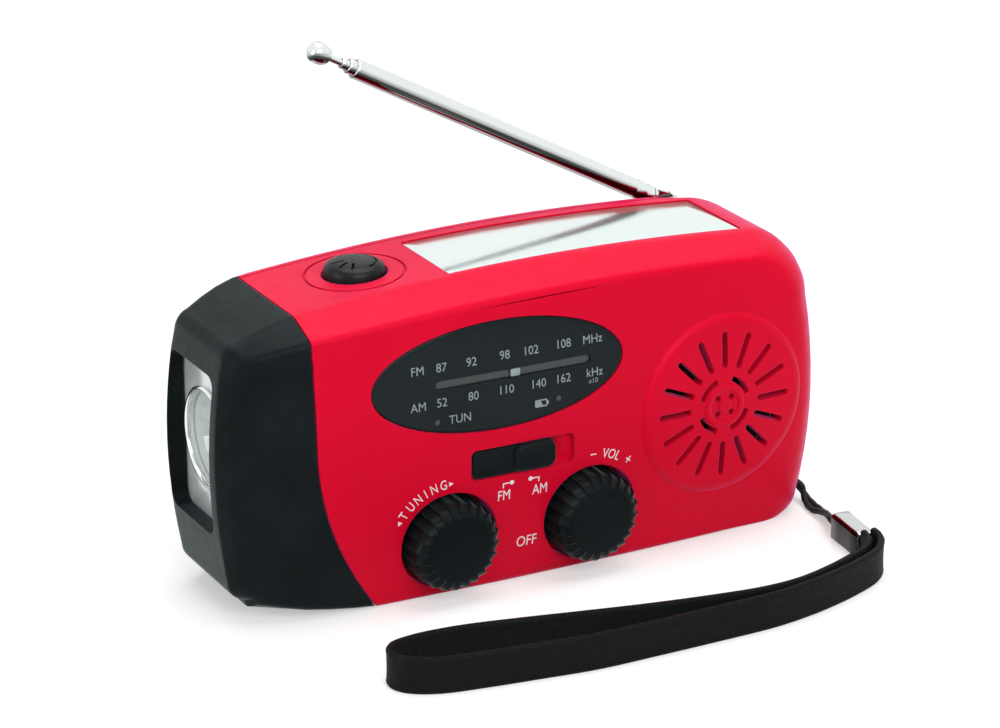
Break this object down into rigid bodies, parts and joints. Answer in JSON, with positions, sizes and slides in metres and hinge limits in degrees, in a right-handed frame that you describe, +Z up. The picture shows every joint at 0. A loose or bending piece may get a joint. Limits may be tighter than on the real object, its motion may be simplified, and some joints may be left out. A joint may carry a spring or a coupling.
{
  "type": "portable radio",
  "caption": "Portable crank and solar radio with a torch head, oval tuning dial, round speaker grille, side knobs, telescopic antenna and wrist strap.",
  "frame": {"origin": "on the flat base, under the middle of the case", "axes": "+X to the right seen from the front, -Y out of the front face, +Z up"},
  "size_m": [0.1269, 0.0886, 0.0989],
  "materials": {
    "red_shell": "satin moulded plastic, crimson",
    "black_shell": "satin moulded plastic, near black",
    "black_rubber": "soft matt rubber, black",
    "clear_plastic": "clear polished plastic",
    "silver": "metallised plastic, bright silver",
    "crimp_metal": "crimped sheet, satin",
    "chrome": "polished plating",
    "steel": "plain bright steel",
    "dial_black": "printed plate behind the window, gloss black",
    "solar_glass": "clear coated solar cells, glossy",
    "white_plastic": "moulded plastic, off white",
    "board_green": "laminate, green",
    "brass": "cut brass",
    "ferrite": "sintered ferrite, dark grey",
    "copper": "enamelled copper winding",
    "cell_sleeve": "shrink sleeve over a metal can",
    "strap_black": "woven nylon, black",
    "paper_cone": "pressed paper, black",
    "led_clear": "clear epoxy"
  },
  "bodies": {
    "case": {"front_shell": "red_shell", "rear_cover": "red_shell", "torch_head": "black_shell", "torch_lens": "clear_plastic", "torch_reflector": "silver", "led_board": "board_green", "torch_led_1": "led_clear", "torch_led_2": "led_clear", "torch_led_3": "led_clear", "solar_panel": "solar_glass", "torch_switch": "black_shell", "dial_window": "clear_plastic", "dial_plate": "dial_black", "band_switch": "steel", "tuning_capacitor": "white_plastic", "volume_potentiometer": "steel", "speaker_frame": "steel", "speaker_cone": "paper_cone", "circuit_board": "board_green", "ferrite_rod": "ferrite", "aerial_coil": "copper", "ferrite_holder": "white_plastic", "battery_cell": "cell_sleeve", "gear_plate": "steel", "idler_axle": "steel", "generator": "steel", "cover_screw_low_left": "steel", "cover_screw_high_left": "steel", "cover_screw_low_right": "steel", "cover_screw_high_right": "steel", "charging_socket": "steel", "strap_bar": "steel", "strap_cord": "strap_black", "strap_clip": "crimp_metal", "strap_band": "strap_black"},
    "tuning": {"tuning_knob": "black_shell", "tuning_shaft": "white_plastic", "tuning_gear": "white_plastic"},
    "pointer": {"dial_pointer": "white_plastic"},
    "volume": {"volume_knob": "black_shell", "volume_shaft": "white_plastic"},
    "band": {"band_slider": "black_shell"},
    "button": {"torch_button": "black_rubber"},
    "crank": {"crank_arm": "black_shell", "crank_shaft": "steel", "crank_gear": "white_plastic"},
    "idler": {"idler_gear": "white_plastic"},
    "rotor": {"generator_rotor": "steel", "generator_pinion": "brass"},
    "spindle": {"grip_spindle": "steel"},
    "grip": {"crank_grip": "black_shell"},
    "antenna_swivel": {"antenna_base": "chrome", "antenna_pin": "steel"},
    "antenna_outer": {"antenna_root": "chrome", "antenna_tube_1": "chrome"},
    "antenna_second": {"antenna_tube_2": "chrome"},
    "antenna_third": {"antenna_tube_3": "chrome"},
    "antenna_tip": {"antenna_rod": "chrome"},
    "flap": {"socket_flap": "black_rubber"}
  },
  "joints": [
    {"name": "tuning_turn", "type": "hinge", "parent": "case", "child": "tuning", "pos_m": [-0.0206, 0, 0.0117], "axis": [0, 1, 0], "range_deg": [-107, 73]},
    {"name": "pointer_slide", "type": "slide", "parent": "case", "child": "pointer", "axis": [1, 0, 0], "range_m": [-0.01495, 0.01025]},
    {"name": "volume_turn", "type": "hinge", "parent": "case", "child": "volume", "pos_m": [0.00895, 0, 0.0117], "axis": [0, 1, 0], "range_deg": [0, 270]},
    {"name": "band_slide", "type": "slide", "parent": "case", "child": "band", "axis": [1, 0, 0], "range_m": [0, 0.0038]},
    {"name": "torch_press", "type": "slide", "parent": "case", "child": "button", "axis": [0, 0, -1], "range_m": [0, 0.0012], "stiffness_N_per_m": 400},
    {"name": "crank_turn", "type": "hinge", "parent": "case", "child": "crank", "pos_m": [0, 0, 0.031], "axis": [0, 1, 0], "continuous": true},
    {"name": "idler_turn", "type": "hinge", "parent": "case", "child": "idler", "pos_m": [0.01773, 0, 0.02787], "axis": [0, 1, 0], "continuous": true},
    {"name": "rotor_turn", "type": "hinge", "parent": "case", "child": "rotor", "pos_m": [0.03318, 0, 0.03202], "axis": [0, 1, 0], "continuous": true},
    {"name": "grip_fold", "type": "hinge", "parent": "crank", "child": "spindle", "pos_m": [-0.037, 0.0241, 0.031], "axis": [0, 0, 1], "range_deg": [0, 90]},
    {"name": "grip_spin", "type": "hinge", "parent": "spindle", "child": "grip", "pos_m": [-0.037, 0.0241, 0.031], "axis": [1, 0, 0], "continuous": true},
    {"name": "antenna_turn", "type": "hinge", "parent": "case", "child": "antenna_swivel", "pos_m": [0.0475, 0.0171, 0.0562], "axis": [0, 0, 1], "range_deg": [-180, 0]},
    {"name": "antenna_tilt", "type": "hinge", "parent": "antenna_swivel", "child": "antenna_outer", "pos_m": [0.0475, 0.0171, 0.0562], "axis": [0, 1, 0], "range_deg": [-28.3, 61.7]},
    {"name": "antenna_slide_2", "type": "slide", "parent": "antenna_outer", "child": "antenna_second", "axis": [-0.8805, 0, 0.4741], "range_m": [0, 0.055]},
    {"name": "antenna_slide_3", "type": "slide", "parent": "antenna_second", "child": "antenna_third", "axis": [-0.8805, 0, 0.4741], "range_m": [0, 0.055]},
    {"name": "antenna_slide_4", "type": "slide", "parent": "antenna_third", "child": "antenna_tip", "axis": [-0.8805, 0, 0.4741], "range_m": [0, 0.055]},
    {"name": "flap_turn", "type": "hinge", "parent": "case", "child": "flap", "pos_m": [0.0484, 0.01801, 0.0336], "axis": [-1, 0, 0], "range_deg": [0, 100]}
  ],
  "couplings": [
    {"joint": "pointer_slide", "follows": "tuning_turn", "m_per_rad": 0.008},
    {"joint": "idler_turn", "follows": "crank_turn", "ratio": -3.5},
    {"joint": "rotor_turn", "follows": "crank_turn", "ratio": 10.5}
  ]
}
